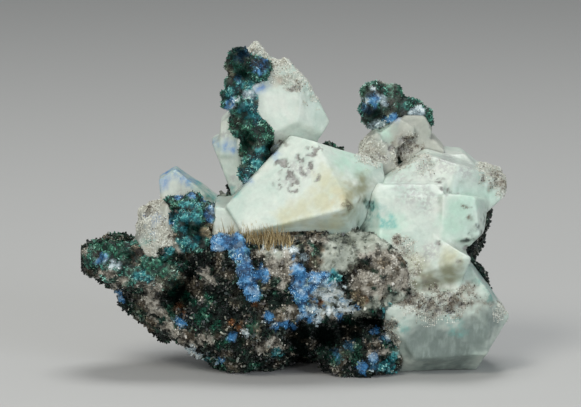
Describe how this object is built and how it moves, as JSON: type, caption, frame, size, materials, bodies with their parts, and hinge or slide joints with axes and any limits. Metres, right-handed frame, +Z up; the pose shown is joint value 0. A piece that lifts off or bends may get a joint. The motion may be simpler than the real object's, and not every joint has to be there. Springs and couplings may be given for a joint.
{
  "type": "anglesite mineral specimen",
  "caption": "Milky white wedge-shaped crystals on a dark vuggy rock with a shelf on its left, green and blue crusts and a spire at its back; stands on broken feet.",
  "frame": {"origin": "middle of the footprint of the bounding box, on the surface that the specimen stands on", "axes": "+X to the specimen's right along its longest extent, +Y from its display side to its back, +Z up"},
  "size_m": [0.0856, 0.0442, 0.0653],
  "materials": {
    "anglesite": "milky white with a mint tint, flat faces, waxy to glassy gloss, etched pits",
    "etched_anglesite": "sugary, etched and stained beige, low gloss",
    "rock": "dark brown and black-green broken rock with beige and white patches, rough and matte",
    "green_crust": "dark green to teal druse of tiny needles, faint sparkle",
    "blue_crust": "bright to deep blue fine-grained crust, matte"
  },
  "bodies": {
    "root": {"rock_matrix": "rock", "centre_crystal": "anglesite", "tower_crystals": "anglesite", "right_crystals": "anglesite", "back_left_crystal": "anglesite", "spire_crystals": "etched_anglesite", "shoulder_crystals": "etched_anglesite", "tower_green_crust": "green_crust", "spire_green_crust": "green_crust", "shoulder_green_crust": "green_crust", "shelf_green_crust": "green_crust", "left_blue_crust": "blue_crust", "right_blue_crust": "blue_crust"}
  },
  "joints": []
}
